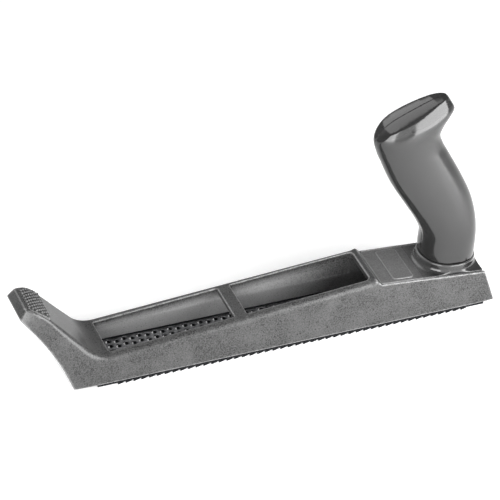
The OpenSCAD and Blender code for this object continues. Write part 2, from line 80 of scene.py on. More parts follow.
# %% [markdown]
# ## Solids from distances
# Castings and mouldings have rounded edges and filleted corners everywhere. Bevelling
# a mesh full of openings is fragile. Here each casting is a *distance field* instead:
# a function that tells how far a point lies outside the solid, minus meaning inside.
# Two fields meet, join or cut each other in one line, and each operation takes the
# radius of its own edge. All lengths in the fields are millimetres.

# %% Combining fields
def meet(a, b, r=0.0):
    """What lies in both solids, its edge rounded to radius r."""
    return (np.minimum(-r, np.maximum(a, b))
            + np.hypot(np.maximum(a + r, 0), np.maximum(b + r, 0)))


def join(a, b, r=0.0):
    """Both solids together, with a fillet of radius r between them."""
    return -meet(-a, -b, r)


def cut(a, b, r=0.0):
    """The first solid without the second, the new edge rounded to radius r."""
    return meet(a, -b, r)


def between(value, low, high):
    """Distance outside the slab from low to high."""
    return np.maximum(low - value, value - high)


def rounded_box(u, v, half_u, half_v, r):
    """Distance outside a rectangle centred on 0 with corners of radius r."""
    du, dv = np.abs(u) - half_u + r, np.abs(v) - half_v + r
    return np.hypot(np.maximum(du, 0), np.maximum(dv, 0)) + np.minimum(np.maximum(du, dv), 0) - r


# %% Outlines
def arc(centre, radius, start, end, steps):
    """Points on an arc, angles in degrees from +X."""
    angles = np.radians(np.linspace(start, end, steps + 1))
    return [(centre[0] + radius * math.cos(a), centre[1] + radius * math.sin(a)) for a in angles]


def inside_outline(points, u, v):
    """Distance outside a closed outline drawn on the u, v plane."""
    nearest, inside = np.float32(1e9), False
    for (u0, v0), (u1, v1) in zip(points, points[1:] + points[:1]):
        du, dv = u1 - u0, v1 - v0
        t = np.clip(((u - u0) * du + (v - v0) * dv) / (du * du + dv * dv), 0, 1)
        nearest = np.minimum(nearest, (u - u0 - t * du) ** 2 + (v - v0 - t * dv) ** 2)
        if v0 != v1:
            inside = inside ^ (((v0 > v) != (v1 > v)) & (u < (v - v0) * du / dv + u0))
    return np.where(inside, -1, 1) * np.sqrt(nearest)


def eased(points, radii):
    """The outline with each corner turned into an arc of its own radius."""
    result = []
    for i, (corner, radius) in enumerate(zip(points, radii)):
        if not radius:
            result.append(corner)
            continue
        p = Vector(corner)
        a = (Vector(points[i - 1]) - p).normalized()
        b = (Vector(points[(i + 1) % len(points)]) - p).normalized()
        half = a.angle(b) / 2
        centre = p + (a + b).normalized() * radius / math.sin(half)
        start, end = p + a * radius / math.tan(half), p + b * radius / math.tan(half)
        for k in range(7):
            spoke = (start - centre).lerp(end - centre, k / 6).normalized() * radius
            result.append(tuple(centre + spoke))
    return result


# %% [markdown]
# ## A skin for a field
# The field becomes a mesh by *surface nets*: space is divided into small cubes, each
# cube that the surface crosses gets one vertex, and neighbours are joined into quads.
# Each vertex is then slid along the slope of the field until it lies on the surface,
# and the slope is also its exact shading normal, so even coarse quads look smooth.
# Convex edges, where paint wears first and where rolled edges catch the light, are where
# the slope spreads: that is kept as a point attribute for the paint to read, which
# lightens these edges partly for worn paint and partly as a painted highlight.

# %% Skinning
def slope(field, points, reach):
    """Gradient of the field, and how fast it spreads, at each point."""
    here, gradient, spread = field(*points.T), np.empty_like(points), 0
    for k in range(3):
        ahead, behind = points.copy(), points.copy()
        ahead[:, k] += reach
        behind[:, k] -= reach
        a, b = field(*ahead.T), field(*behind.T)
        gradient[:, k] = (a - b) / (2 * reach)
        spread = spread + a + b - 2 * here
    return here, gradient, spread / reach ** 2


def settle(field, points, limit, rounds=3):
    """Slides points onto the surface of the field."""
    for _ in range(rounds):
        here, gradient, _ = slope(field, points, 0.04)
        steep = np.maximum((gradient ** 2).sum(1), 0.2)
        points = points - np.clip((here / steep)[:, None] * gradient, -limit, limit)
    return points


def surface_net(field, low, high, step):
    """Vertices and quads round the part of the field inside the box."""
    axes = [np.arange(a - 2 * step, b + 3 * step, step, dtype=np.float32)
            for a, b in zip(low, high)]
    value = field(axes[0][:, None, None], axes[1][None, :, None], axes[2][None, None, :])
    cells = [len(a) - 1 for a in axes]
    rings, crossings = [], []
    for axis in range(3):
        first = np.take(value, range(cells[axis]), axis)
        second = np.take(value, range(1, cells[axis] + 1), axis)
        at = np.argwhere((first < 0) != (second < 0))
        a, b = first[tuple(at.T)], second[tuple(at.T)]
        place = at.astype(float)
        place[:, axis] += a / (a - b)
        ring = []
        for du, dv in ((0, 0), (-1, 0), (-1, -1), (0, -1)):
            cell = at.copy()
            cell[:, (axis + 1) % 3] += du
            cell[:, (axis + 2) % 3] += dv
            ring.append(np.ravel_multi_index(cell.T, cells))
        ring = np.stack(ring, 1)
        ring[a > 0] = ring[a > 0][:, ::-1]
        rings.append(ring)
        crossings.append(np.repeat(place, 4, axis=0))
    place = np.concatenate(crossings)
    used, corner = np.unique(np.concatenate(rings), return_inverse=True)
    corner = corner.ravel()
    count = np.bincount(corner, minlength=len(used))
    points = np.stack([np.bincount(corner, place[:, k], len(used)) / count
                       for k in range(3)], 1)
    return np.array([a[0] for a in axes]) + points * step, corner.reshape(-1, 4)


def mesh_of(name, points, faces):
    """A mesh from points in millimetres."""
    mesh = bpy.data.meshes.new(name)
    mesh.from_pydata((np.asarray(points) * MM).tolist(), [],
                     faces.tolist() if isinstance(faces, np.ndarray) else faces)
    return mesh


def put(name, mesh):
    """The mesh as an object at the origin of the scene."""
    piece = bpy.data.objects.new(name, mesh)
    bpy.context.scene.collection.objects.link(piece)
    return piece


def applied(piece):
    """The piece's mesh with its modifiers in it, and the modifiers gone."""
    view = bpy.context.evaluated_depsgraph_get()
    mesh = bpy.data.meshes.new_from_object(piece.evaluated_get(view), depsgraph=view)
    piece.modifiers.clear()
    piece.data = mesh
    return mesh


MOST_TRIANGLES = 170000


def skin(name, field, low, high, step):
    """The field's surface as a smooth piece, with its attribute for worn edges and painted highlight."""
    points, faces = surface_net(field, low, high, step)
    points = settle(field, points, step / 2)
    mesh = mesh_of(name, points, faces)
    piece = put(name, mesh)
    if 2 * len(faces) > MOST_TRIANGLES:
        thin = piece.modifiers.new("thin", "DECIMATE")
        thin.ratio = MOST_TRIANGLES / (2 * len(faces))
        mesh = applied(piece)
    points = np.empty(len(mesh.vertices) * 3)
    mesh.vertices.foreach_get("co", points)
    points = settle(field, points.reshape(-1, 3) / MM, step / 3, 2)
    mesh.vertices.foreach_set("co", (points * MM).ravel())
    _, normal, _ = slope(field, points, 0.05)
    _, _, spread = slope(field, points, 0.7)
    # convex edges: partly worn paint, partly a painted highlight for the paint to draw
    wear_and_highlight = mesh.attributes.new("wear_and_highlight", "FLOAT", "POINT")
    wear_and_highlight.data.foreach_set("value", np.clip(spread * 0.8, 0, 1).astype(np.float32))
    mesh.shade_smooth()
    normal /= np.maximum(np.linalg.norm(normal, axis=1), 1e-6)[:, None]
    mesh.normals_split_custom_set_from_vertices(normal.tolist())
    print(f"{name}: {len(mesh.polygons)} faces")
    return piece


# %% [markdown]
# ## Sizes shared with the CAD model
# A finer piece has to sit exactly where the CAD solid is, so its sizes repeat the
# design: the frame tapers upwards by a draft angle, the top rises towards the deck,
# and the deck falls back to the heel. The box of the CAD casting is printed for its ends.

# %% Sizes of the frame
TOE, HEEL = -132.0, 132.0
RIM, CORNER = 3.0, 3.4
DRAFT = math.radians(8.5)
HALF_WIDTH = 23.0
FRONT_Z, REAR_Z = 20.4, 32.3
FRAME_END, DECK_START, DECK_END = 58.0, 60.5, 126.9
DECK_FRONT_Z, DECK_HEEL_Z = 28.7, 23.0
WINDOW_START, WINDOW_END, CROSSBAR = TOE + 24, 54.5, 8.0
WINDOW_LENGTH = (WINDOW_END - WINDOW_START - CROSSBAR) / 2
RISE = math.atan((REAR_Z - FRONT_Z) / (FRAME_END - WINDOW_START))
TILT = math.atan((DECK_FRONT_Z - DECK_HEEL_Z) / (DECK_END - DECK_START))
BOSS_X = 108.4
BOSS_Z = DECK_FRONT_Z - (BOSS_X - DECK_START) * math.tan(TILT)
RECESS_START = -(BOSS_X - DECK_START) / math.cos(TILT)
PLATE = 3.0
UNDER_DECK = 6.2


def half_width(z):
    return HALF_WIDTH - (z - CORNER) * math.tan(DRAFT)


WINDOW_HALF = half_width(FRONT_Z) - 5.3
RECESS_HALF = half_width(DECK_FRONT_Z) - 1.2
cad_low, cad_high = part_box("body_casting")
print("casting from", [round(c / MM, 1) for c in cad_low], "to", [round(c / MM, 1) for c in cad_high])

# %% [markdown]
# ## The die-cast frame
# The real one is pressure die cast in aluminium: one long hollow body with two
# openings to let the shavings out, walls about 3 mm thick, and every outer edge
# rolled over so that it does not cut the hand. The side view gives the top and the
# underside, the end view gives the draft of the walls, and the field meets them with
# a large radius along the rails and the valley, and a small one along the deck.

# %% Side view of the frame
TIP_HIGH = (TOE - 28.2 + 7 * math.cos(math.radians(54)), 59.4)
TIP_LOW = (TOE - 28.2, 59.4 - 7 * math.sin(math.radians(54)))
CREST_RADIUS, VALLEY_RADIUS = 37.0, 18.0
CREST_SLOPE, BACK_SLOPE = math.radians(20), math.radians(48.7)
crest = (TIP_HIGH[0] - CREST_RADIUS * math.sin(CREST_SLOPE),
         TIP_HIGH[1] - CREST_RADIUS * math.cos(CREST_SLOPE))
crest_end = (crest[0] + CREST_RADIUS * math.sin(BACK_SLOPE),
             crest[1] + CREST_RADIUS * math.cos(BACK_SLOPE))
foot_x = ((crest_end[1] + crest_end[0] * math.tan(BACK_SLOPE) - FRONT_Z
           + WINDOW_START * math.tan(RISE)) / (math.tan(BACK_SLOPE) + math.tan(RISE)))
foot_z = FRONT_Z + (foot_x - WINDOW_START) * math.tan(RISE)
run = VALLEY_RADIUS * math.tan((BACK_SLOPE + RISE) / 2)
valley = (foot_x + run * math.cos(RISE) - VALLEY_RADIUS * math.sin(RISE),
          foot_z + run * math.sin(RISE) + VALLEY_RADIUS * math.cos(RISE))
tip_way = (TIP_LOW[0] - TIP_HIGH[0], TIP_LOW[1] - TIP_HIGH[1])
heel_way = (HEEL - DECK_END, CORNER - DECK_HEEL_Z)
crest_points = arc(crest, CREST_RADIUS, 90 - 20, 90 - 48.7, 14)
valley_points = arc(valley, VALLEY_RADIUS, 270 - 48.7, 270 + math.degrees(RISE), 24)
top_corners = ([(TIP_HIGH[0] + 9 * tip_way[0], TIP_HIGH[1] + 9 * tip_way[1])]
               + crest_points + valley_points
               + [(FRAME_END, REAR_Z), (DECK_START + 0.4, DECK_FRONT_Z), (DECK_END, DECK_HEEL_Z),
                  (DECK_END + 4 * heel_way[0], DECK_HEEL_Z + 4 * heel_way[1])])
top_radii = ([0, 1.2] + [0] * (len(crest_points) + len(valley_points) - 1) + [1.6, 1.2, 0.9, 0])
TOP_SIDE = eased(top_corners, top_radii)

start, end = Vector((TOE, CORNER)), Vector(TIP_LOW)
way, middle = end - start, (start + end) / 2
UNDER_RADIUS = 150
under_centre = middle + Vector((-way.y, way.x)).normalized() * math.sqrt(
    UNDER_RADIUS ** 2 - way.length_squared / 4)
angles = [math.degrees(math.atan2(p.y - under_centre.y, p.x - under_centre.x)) for p in (start, end)]
angles = [a % 360 for a in angles]
under_points = arc(under_centre, UNDER_RADIUS, *angles, 16)
last = Vector(under_points[-1])
beyond = last + (last - Vector(under_points[-2])).normalized() * 60
UNDER_SIDE = ([(HEEL + 60, CORNER + 2), (HEEL, CORNER), (HEEL - 12, RIM), (TOE + 12, RIM)]
              + under_points + [tuple(beyond), (beyond.x, 400), (HEEL + 60, 400)])
print("side view has", len(TOP_SIDE) + len(UNDER_SIDE), "points")

# %% Outside, hollow and openings of the frame
TOE_WALL, HEEL_WALL = TOE + 5, HEEL - 6
ROOF = 3.5
IN_LOW = HALF_WIDTH - 3
IN_LEAN = (IN_LOW - WINDOW_HALF) / (FRONT_Z - ROOF - RIM)
LEAN_ANGLE = math.atan(IN_LEAN)


def frame_top(x):
    return FRONT_Z + (x - WINDOW_START) * math.tan(RISE)


def deck_top(x):
    return DECK_FRONT_Z - (x - DECK_START) * math.tan(TILT)


def under_deck(x):
    return deck_top(x) - UNDER_DECK / math.cos(TILT)


HOLLOW_SIDE = [(TOE_WALL, -20), (TOE_WALL, 12), (WINDOW_START - 14, FRONT_Z - ROOF),
               (WINDOW_START, FRONT_Z - ROOF), (WINDOW_END, frame_top(WINDOW_END) - ROOF),
               (DECK_START, under_deck(DECK_START)), (HEEL_WALL, under_deck(HEEL_WALL)),
               (HEEL_WALL, -20)]
POCKET_SIDE = ([(TOE - 3.5, 14), (TIP_LOW[0] - 4, TIP_LOW[1] - 6), (TIP_LOW[0] + 4.5, TIP_LOW[1] - 1)]
               + arc(crest, CREST_RADIUS - 4, 65, 90 - 48.7, 8) + [(TOE + 1, 28)])


def on_deck(x, z):
    """Places along the deck and above it, measured from the middle of the boss."""
    along, up = x - BOSS_X, z - BOSS_Z
    return (along * math.cos(TILT) - up * math.sin(TILT),
            along * math.sin(TILT) + up * math.cos(TILT))


def edge_radius(x):
    """Radius of the outer top edge: crisp at the tip, rolled at the rails, fine at the deck."""
    horn = np.clip((x + 152) / 26, 0, 1)
    deck = np.clip((x - FRAME_END + 3) / 5, 0, 1)
    return (1.3 + 2.5 * horn * horn * (3 - 2 * horn)) * (1 - deck) + 0.7 * deck


def outside(x, y, z):
    wide = np.abs(y)
    side = np.maximum(wide - HALF_WIDTH, (wide - half_width(z)) * math.cos(DRAFT))
    tip = -0.366 * (x - TIP_LOW[0]) + 0.709 * (wide - 13.6) + 0.605 * (z - TIP_LOW[1])
    side = meet(side, tip, 3.0)
    body = meet(inside_outline(TOP_SIDE, x, z), side, edge_radius(x))
    from_crest = np.hypot(x - crest[0], z - crest[1])
    turn = np.arctan2(x - crest[0], z - crest[1])
    pad_ends = between(turn, math.radians(23), math.radians(45)) * CREST_RADIUS
    pad = meet(from_crest - CREST_RADIUS - 0.6, pad_ends, 0.4)
    pad = meet(pad, side + 1.2, 0.4)
    body = join(body, np.maximum(pad, CREST_RADIUS - 1 - from_crest), 0.2)
    return meet(body, inside_outline(UNDER_SIDE, x, z), 0.9)


def openings(x, y, z):
    wide = np.abs(y)
    walls = (wide - IN_LOW + (z - RIM) * IN_LEAN) * math.cos(LEAN_ANGLE)
    walls = np.minimum(np.maximum(walls, wide - IN_LOW - 0.6),
                       np.maximum(wide - WINDOW_HALF, FRONT_Z - ROOF - z))
    hollow = meet(inside_outline(HOLLOW_SIDE, x, z), walls, 2.0)
    front = rounded_box(x - WINDOW_START - WINDOW_LENGTH / 2, y, WINDOW_LENGTH / 2, WINDOW_HALF, 1.0)
    rear_x = x - WINDOW_START - 1.5 * WINDOW_LENGTH - CROSSBAR
    rear = rounded_box(rear_x, y, WINDOW_LENGTH / 2, WINDOW_HALF, 1.0 + 2.0 * (rear_x > 0))
    windows = np.maximum(np.minimum(front, rear), 8 - z)
    void = join(hollow, windows, 0.5)
    pockets = meet(inside_outline(POCKET_SIDE, x, z), between(wide, 1.8, half_width(TIP_LOW[1]) - 4), 1.5)
    return np.minimum(void, pockets)


# %% Fittings inside the frame
SCREW_Z = 7.8
PIN_X, PIN_Z = -121.45, 8.0
POST_Y, POST_U = WINDOW_HALF - 5.5, RECESS_START + 9 / math.cos(TILT)


def casting(x, y, z):
    """The whole casting as a field, in millimetres."""
    u, w = on_deck(x, z)
    solid = cut(outside(x, y, z), openings(x, y, z), 0.7)
    ribs = np.maximum(between(np.abs(y), 6.3, 8.8), between(x, 107.7, 121.3))
    ribs = np.maximum(ribs, np.maximum(4.5 - z, w + 4))
    solid = join(solid, ribs, 0.8)
    from_screw = np.hypot(y, z - SCREW_Z)
    solid = join(solid, np.maximum(from_screw - 6, between(x, 124.6, 127.5)), 0.3)
    recess = rounded_box(u - RECESS_START - 100, y, 100, RECESS_HALF, 2.0)
    solid = cut(solid, np.maximum(recess, -PLATE - w), 0.35)
    posts = np.hypot(u - POST_U, np.abs(y) - POST_Y) - 3.7
    holes = np.minimum(np.hypot(u, y) - 3.3, np.maximum(posts, -12 - w))
    solid = cut(solid, np.maximum(holes, 12 - z), 0.3)
    pin = np.maximum(np.hypot(x - PIN_X, z - PIN_Z) - 2, -20.4 - y)
    screw = np.minimum(np.maximum(from_screw - 2.3, 120 - x), np.maximum(from_screw - 5.5, 128 - x))
    return cut(cut(solid, pin, 0.2), screw, 0.3)


body = skin("body_casting_cast", casting, (-161, -23, 2.5), (132, 23, 61), 0.7)

# %% [markdown]
# ## The knurled pad
# The horn's crest carries a pad of small pyramids for the palm: two sets of crossing
# grooves, cast in with the frame. Anything repeated in rows suits Geometry Nodes. The
# tree lays a grid of points, bends it round the crest by turning each row a little
# further, shifts every other row by half a step, and sets a four-sided cone on each.

# %% Two helpers for node trees
def add(tree, kind, inputs=None, **settings):
    """Adds a node with its settings. A socket among the inputs is linked, a value is set."""
    node = tree.nodes.new(kind)
    for name, value in settings.items():
        setattr(node, name, value)
    for key, value in (inputs or {}).items():
        if isinstance(value, bpy.types.NodeSocket):
            tree.links.new(value, node.inputs[key])
        else:
            node.inputs[key].default_value = value
    return node


def new_tree(name, **sizes):
    """A geometry tree with named inputs, their socket types and its group input node."""
    tree = bpy.data.node_groups.new(name, "GeometryNodeTree")
    for key, kind in sizes.items():
        tree.interface.new_socket(key, in_out="INPUT", socket_type="NodeSocket" + kind)
    tree.interface.new_socket("Geometry", in_out="OUTPUT", socket_type="NodeSocketGeometry")
    return tree, tree.nodes.new("NodeGroupInput")


def sum_of(tree, operation, *values):
    """One Math node's result."""
    return add(tree, "ShaderNodeMath", dict(enumerate(values)), operation=operation).outputs[0]


def close_tree(tree, geometry, material):
    """Makes the instances real, gives them their material and ends the tree."""
    real = add(tree, "GeometryNodeRealizeInstances", {"Geometry": geometry})
    dressed = add(tree, "GeometryNodeSetMaterial", {"Geometry": real.outputs[0], "Material": material})
    tree.links.new(dressed.outputs[0], tree.nodes.new("NodeGroupOutput").inputs["Geometry"])


def grown(name, tree, **values):
    """Runs a tree once with these input values and keeps its plain mesh."""
    host = put(name, bpy.data.meshes.new(name))
    modifier = host.modifiers.new(name, "NODES")
    modifier.node_group = tree
    for item in tree.interface.items_tree:
        if item.item_type == "SOCKET" and item.in_out == "INPUT":
            modifier[item.identifier] = values[item.name]
    mesh = applied(host)
    bpy.data.objects.remove(host)
    print(f"{name}: {len(mesh.polygons)} faces grown")
    return mesh


# %% Pyramids round the crest
# half diagonals of a pyramid as shares of the spacing along and across
PYRAMID_X_SHARE, PYRAMID_Y_SHARE = 0.84, 0.43


def knurl_tree():
    tree, given = new_tree("knurl", Rows="Int", Columns="Int", Radius="Float", First="Float",
                           Turn="Float", Across="Float", Height="Float", Material="Material")
    size = given.outputs
    grid = add(tree, "GeometryNodeMeshGrid", {"Vertices X": size["Rows"], "Vertices Y": size["Columns"]})
    index = add(tree, "GeometryNodeInputIndex").outputs[0]
    row = sum_of(tree, "FLOOR", sum_of(tree, "DIVIDE", index, size["Columns"]))
    column = sum_of(tree, "MODULO", index, size["Columns"])
    angle = sum_of(tree, "MULTIPLY_ADD", row, size["Turn"], size["First"])
    shift = sum_of(tree, "MULTIPLY_ADD", sum_of(tree, "MODULO", row, 2.0), 0.5, column)
    middle = sum_of(tree, "MULTIPLY", sum_of(tree, "SUBTRACT", size["Columns"], 0.5), 0.5)
    y = sum_of(tree, "MULTIPLY", sum_of(tree, "SUBTRACT", shift, middle), size["Across"])
    x = sum_of(tree, "MULTIPLY_ADD", sum_of(tree, "SINE", angle), size["Radius"], crest[0] * MM)
    z = sum_of(tree, "MULTIPLY_ADD", sum_of(tree, "COSINE", angle), size["Radius"], crest[1] * MM)
    place = add(tree, "ShaderNodeCombineXYZ", {"X": x, "Y": y, "Z": z})
    bent = add(tree, "GeometryNodeSetPosition", {"Geometry": grid.outputs[0], "Position": place.outputs[0]})
    # the pad narrows towards the tip
    narrow = sum_of(tree, "MINIMUM", sum_of(tree, "MULTIPLY_ADD", row, 0.0011, 0.0104), 0.0130)
    kept = add(tree, "FunctionNodeCompare", {0: sum_of(tree, "ABSOLUTE", y), 1: narrow},
               operation="LESS_THAN")
    pyramid = add(tree, "GeometryNodeMeshCone", {"Vertices": 4, "Radius Top": 0.3, "Radius Bottom": 1.0,
                                                 "Depth": size["Height"]}, fill_type="NGON")
    row_step = sum_of(tree, "MULTIPLY", size["Turn"], size["Radius"])
    pyramid_x = sum_of(tree, "MULTIPLY", row_step, PYRAMID_X_SHARE)
    pyramid_y = sum_of(tree, "MULTIPLY", size["Across"], PYRAMID_Y_SHARE)
    stretch = add(tree, "ShaderNodeCombineXYZ", {"X": pyramid_x, "Y": pyramid_y, "Z": 1.0})
    cone = add(tree, "GeometryNodeTransform", {"Geometry": pyramid.outputs[0], "Scale": stretch.outputs[0]})
    lean = add(tree, "ShaderNodeCombineXYZ", {"Y": angle})
    stood = add(tree, "GeometryNodeInstanceOnPoints",
                {"Points": bent.outputs[0], "Selection": kept.outputs[0], "Instance": cone.outputs[0],
                 "Rotation": lean.outputs[0]})
    close_tree(tree, stood.outputs[0], size["Material"])
    return tree


# %% [markdown]
# ## Finishes
# Every finish starts from the real material and how its surface was made. Colours are
# written as sRGB hex and turned to linear once. Patterns read Object coordinates, in
# metres, so a grain of so many millimetres gives its scale directly.

# %% Helpers for finishes
def linear(code):
    """Linear colour of an sRGB hex code."""
    parts = [int(code[i:i + 2], 16) / 255 for i in (1, 3, 5)]
    return [c / 12.92 if c <= 0.04045 else ((c + 0.055) / 1.055) ** 2.4 for c in parts] + [1.0]


def grains(size):
    """Texture scale whose features are this many millimetres across."""
    return 1 / (size * MM)


def finish(name, **sockets):
    """A new material, its tree, its shader and its Object coordinates."""
    material = bpy.data.materials.new(name)
    material.use_nodes = True
    tree = material.node_tree
    shader = tree.nodes["Principled BSDF"]
    for key, value in sockets.items():
        shader.inputs[key.replace("_", " ")].default_value = value
    return material, tree, shader, add(tree, "ShaderNodeTexCoord").outputs["Object"]


def noise(tree, where, size, detail=2.0):
    return add(tree, "ShaderNodeTexNoise",
               {"Vector": where, "Scale": grains(size), "Detail": detail}).outputs["Fac"]


def spread_to(tree, value, low, high, to_low, to_high):
    """The value from low to high mapped to another range, and held there."""
    return add(tree, "ShaderNodeMapRange", {"Value": value, "From Min": low, "From Max": high,
                                            "To Min": to_low, "To Max": to_high}).outputs[0]


def blend_colour(tree, share, first, second, how="MIX"):
    """Mixes two colours, each a hex code or a socket."""
    node = add(tree, "ShaderNodeMix", {0: share}, data_type="RGBA", blend_type=how)
    for key, colour in ((6, first), (7, second)):
        if isinstance(colour, str):
            node.inputs[key].default_value = linear(colour)
        else:
            tree.links.new(colour, node.inputs[key])
    return node.outputs[2]


def roughen(tree, shader, height, depth, strength=1.0):
    """Bump of this real depth in millimetres."""
    bump = add(tree, "ShaderNodeBump", {"Height": height, "Distance": depth * MM, "Strength": strength})
    tree.links.new(bump.outputs[0], shader.inputs["Normal"])


def wire(tree, shader, **links):
    for key, socket in links.items():
        tree.links.new(socket, shader.inputs[key.replace("_", " ")])


# %% [markdown]
# ### Stoved hammer enamel on die-cast aluminium
# The frame is sprayed with grey enamel that dries to a fine speckle and is then baked.
# It is a dielectric paint with a soft gloss. The speckle is about half a millimetre
# and is drawn at 0.75 mm, half again as coarse, so that it shows. Edges are lighter,
# partly rubbed paint and partly a painted highlight along the rolled edges. The inner
# walls under the windows carry painted light: a lighter grey that fades towards the heel.

# %% Frame enamel
# the wall's inner face leans within the first of these, its outer face beyond the second
INNER_FACE, OUTER_FACE = 0.0208, 0.0216
RISE_RATE = (REAR_Z - FRONT_Z) / (FRAME_END - WINDOW_START)
WINDOW_TOP_AT_MIDDLE = (FRONT_Z - WINDOW_START * RISE_RATE) * MM
enamel, tree, shader, where = finish("grey_hammer_enamel", IOR=1.5, Roughness=0.4)
speckle = noise(tree, where, 0.75, 3.0)
cloud = noise(tree, where, 16.0)
edge_wear_and_highlight = add(tree, "ShaderNodeAttribute", attribute_name="wear_and_highlight").outputs["Fac"]
ground = blend_colour(tree, spread_to(tree, speckle, 0.4, 0.62, 0, 1), "#181818", "#424242")
ground = blend_colour(tree, spread_to(tree, cloud, 0.42, 0.68, 0, 0.4), ground, "#4c4c4c")
# painted light: the inner walls under the windows are drawn lighter, fading towards the heel, for the light
# that falls into the windows
along, across, up = add(tree, "ShaderNodeSeparateXYZ", {"Vector": where}).outputs
top = sum_of(tree, "ADD", sum_of(tree, "MULTIPLY", along, RISE_RATE), WINDOW_TOP_AT_MIDDLE)
deep = spread_to(tree, sum_of(tree, "SUBTRACT", top, up), 0.0015, 0.007, 0, 1)
leaning = sum_of(tree, "ADD", sum_of(tree, "ABSOLUTE", across),
                 sum_of(tree, "MULTIPLY", up, math.tan(DRAFT)))
deep = sum_of(tree, "MULTIPLY", deep, spread_to(tree, along, 0.0, 0.042, 1, 0.1))
inside = sum_of(tree, "MULTIPLY", deep, spread_to(tree, leaning, INNER_FACE, OUTER_FACE, 0.75, 0))
ground = blend_colour(tree, inside, ground, blend_colour(tree, speckle, "#7c7c7c", "#aaaaaa"))
# painted highlight and wear: convex edges and knurl tips are lightened, partly for rubbed paint and partly for
# the light they catch
worn_and_highlit = sum_of(tree, "MULTIPLY", sum_of(tree, "POWER", edge_wear_and_highlight, 2.0),
              spread_to(tree, speckle, 0.3, 0.7, 0.35, 1.0))
wire(tree, shader, Base_Color=blend_colour(tree, worn_and_highlit, ground, "#8c8c8c"),
     Roughness=spread_to(tree, speckle, 0.3, 0.7, 0.26, 0.42))
roughen(tree, shader, speckle, 0.1, 0.4)

# %% [markdown]
# ### Spring steel with painted shade
# The blade is punched and then hardened and tempered. The top of the flat sheet is
# light steel, and its lips and underside are dark: painted shade for the shadow under
# the frame's rim. The teeth are ground, so the metal is bright where it lies lowest.

# %% Blade steel
# flat sheet ends at the first of these, across, and the turned-up lip has begun at the second
FLAT_ENDS, LIP_BEGINS = 0.0200, 0.0206
steel_with_painted_shade, tree, shader, where = finish("spring_steel_with_painted_shade", Metallic=1.0, Roughness=0.34)
height = add(tree, "ShaderNodeSeparateXYZ", {"Vector": where}).outputs["Z"]
ground_edge = spread_to(tree, height, 0.0001, 0.0005, 1, 0)
scale = noise(tree, where, 3.0, 3.0)
side = sum_of(tree, "ABSOLUTE", add(tree, "ShaderNodeSeparateXYZ", {"Vector": where}).outputs["Y"])
# painted shade: only the top of the flat sheet is light steel; the lips and underside are dark for the shadow
# under the frame's rim
lit_top = sum_of(tree, "MULTIPLY", spread_to(tree, height, 0.0013, 0.0019, 0, 1),
               spread_to(tree, side, FLAT_ENDS, LIP_BEGINS, 1, 0))
ground_edge = sum_of(tree, "MULTIPLY", ground_edge, spread_to(tree, side, FLAT_ENDS, LIP_BEGINS, 1, 0.3))
dark = blend_colour(tree, lit_top, "#242527", blend_colour(tree, scale, "#a6a7aa", "#d4d4d6"))
wire(tree, shader, Base_Color=blend_colour(tree, ground_edge, dark, "#c6c7c9"),
     Roughness=spread_to(tree, scale, 0.3, 0.7, 0.34, 0.5))
roughen(tree, shader, scale, 0.03, 0.4)

# %% [markdown]
# ### Injection-moulded ABS
# Handle and deck cover are dark ABS from a polished mould: a dielectric with a sharp
# gloss, a faint ripple from the flow of the plastic, and a haze of fine rubbing. The
# deck cover's front is lightly grained where the mould was etched. Its edges carry a
# painted highlight, faint by the boss and strongest on the etched front.

# %% Handle and deck plastic
gloss_abs, tree, shader, where = finish("polished_black_abs", IOR=1.58, Roughness=0.14)
ripple, haze = noise(tree, where, 14.0), noise(tree, where, 1.4, 4.0)
rubbing = spread_to(tree, haze, 0.4, 0.7, 0, 1)
wire(tree, shader, Base_Color=blend_colour(tree, rubbing, "#1f1f1f", "#232323"),
     Roughness=spread_to(tree, haze, 0.35, 0.7, 0.11, 0.19))
roughen(tree, shader, ripple, 0.06, 0.3)

deck_abs, tree, shader, where = finish("grained_black_abs", IOR=1.6, Roughness=0.3)
grain = noise(tree, where, 0.9, 3.0)
along = add(tree, "ShaderNodeSeparateXYZ", {"Vector": where}).outputs["X"]
etched = spread_to(tree, along, 0.082, 0.096, 1, 0)
moulded = blend_colour(tree, sum_of(tree, "MULTIPLY", etched, grain), "#202020", "#767676")
edge_wear_and_highlight = add(tree, "ShaderNodeAttribute", attribute_name="wear_and_highlight").outputs["Fac"]
# painted highlight on the deck cover's edges, faint by the boss and strongest on the etched front
share = sum_of(tree, "MULTIPLY", edge_wear_and_highlight, spread_to(tree, etched, 0, 1, 0.1, 0.5))
wire(tree, shader, Base_Color=blend_colour(tree, share, moulded, "#8c8c8c"),
     Roughness=spread_to(tree, etched, 0, 1, 0.12, 0.38))
roughen(tree, shader, sum_of(tree, "MULTIPLY", etched, grain), 0.08, 0.5)

# %% [markdown]
# ### Plated and plain fasteners
# Screws, nuts and washers are turned or pressed steel with bright zinc, which is a
# little cloudy. Spring steel parts are oiled black. The friction washer is nylon.

# %% Fastener finishes
def plated(name, light, dark, rough):
    material, tree, shader, where = finish(name, Metallic=1.0, Roughness=rough)
    bloom = noise(tree, where, 1.5, 3.0)
    wire(tree, shader, Base_Color=blend_colour(tree, bloom, dark, light),
         Roughness=spread_to(tree, bloom, 0.3, 0.7, rough - 0.06, rough + 0.08))
    roughen(tree, shader, bloom, 0.02, 0.3)
    return material


zinc = plated("bright_zinc_plate", "#c9c9c6", "#a5a5a3", 0.28)
black_oxide = plated("oiled_black_oxide", "#4b4b4c", "#333334", 0.36)
nylon, tree, shader, where = finish("black_nylon", IOR=1.53, Roughness=0.45)
wire(tree, shader, Base_Color=blend_colour(tree, noise(tree, where, 1.0), "#1c1c1c", "#262626"))
print(len(bpy.data.materials), "finishes")


# %% [markdown]
# ## Assembling the frame casting
# The knurl joins the casting's own mesh, since both are one casting. Its flat faces
# keep their own normals and the rest keeps the exact ones.

# %% Frame casting
KNURL_HEIGHT, KNURL_SEAT = 1.0, 0.5


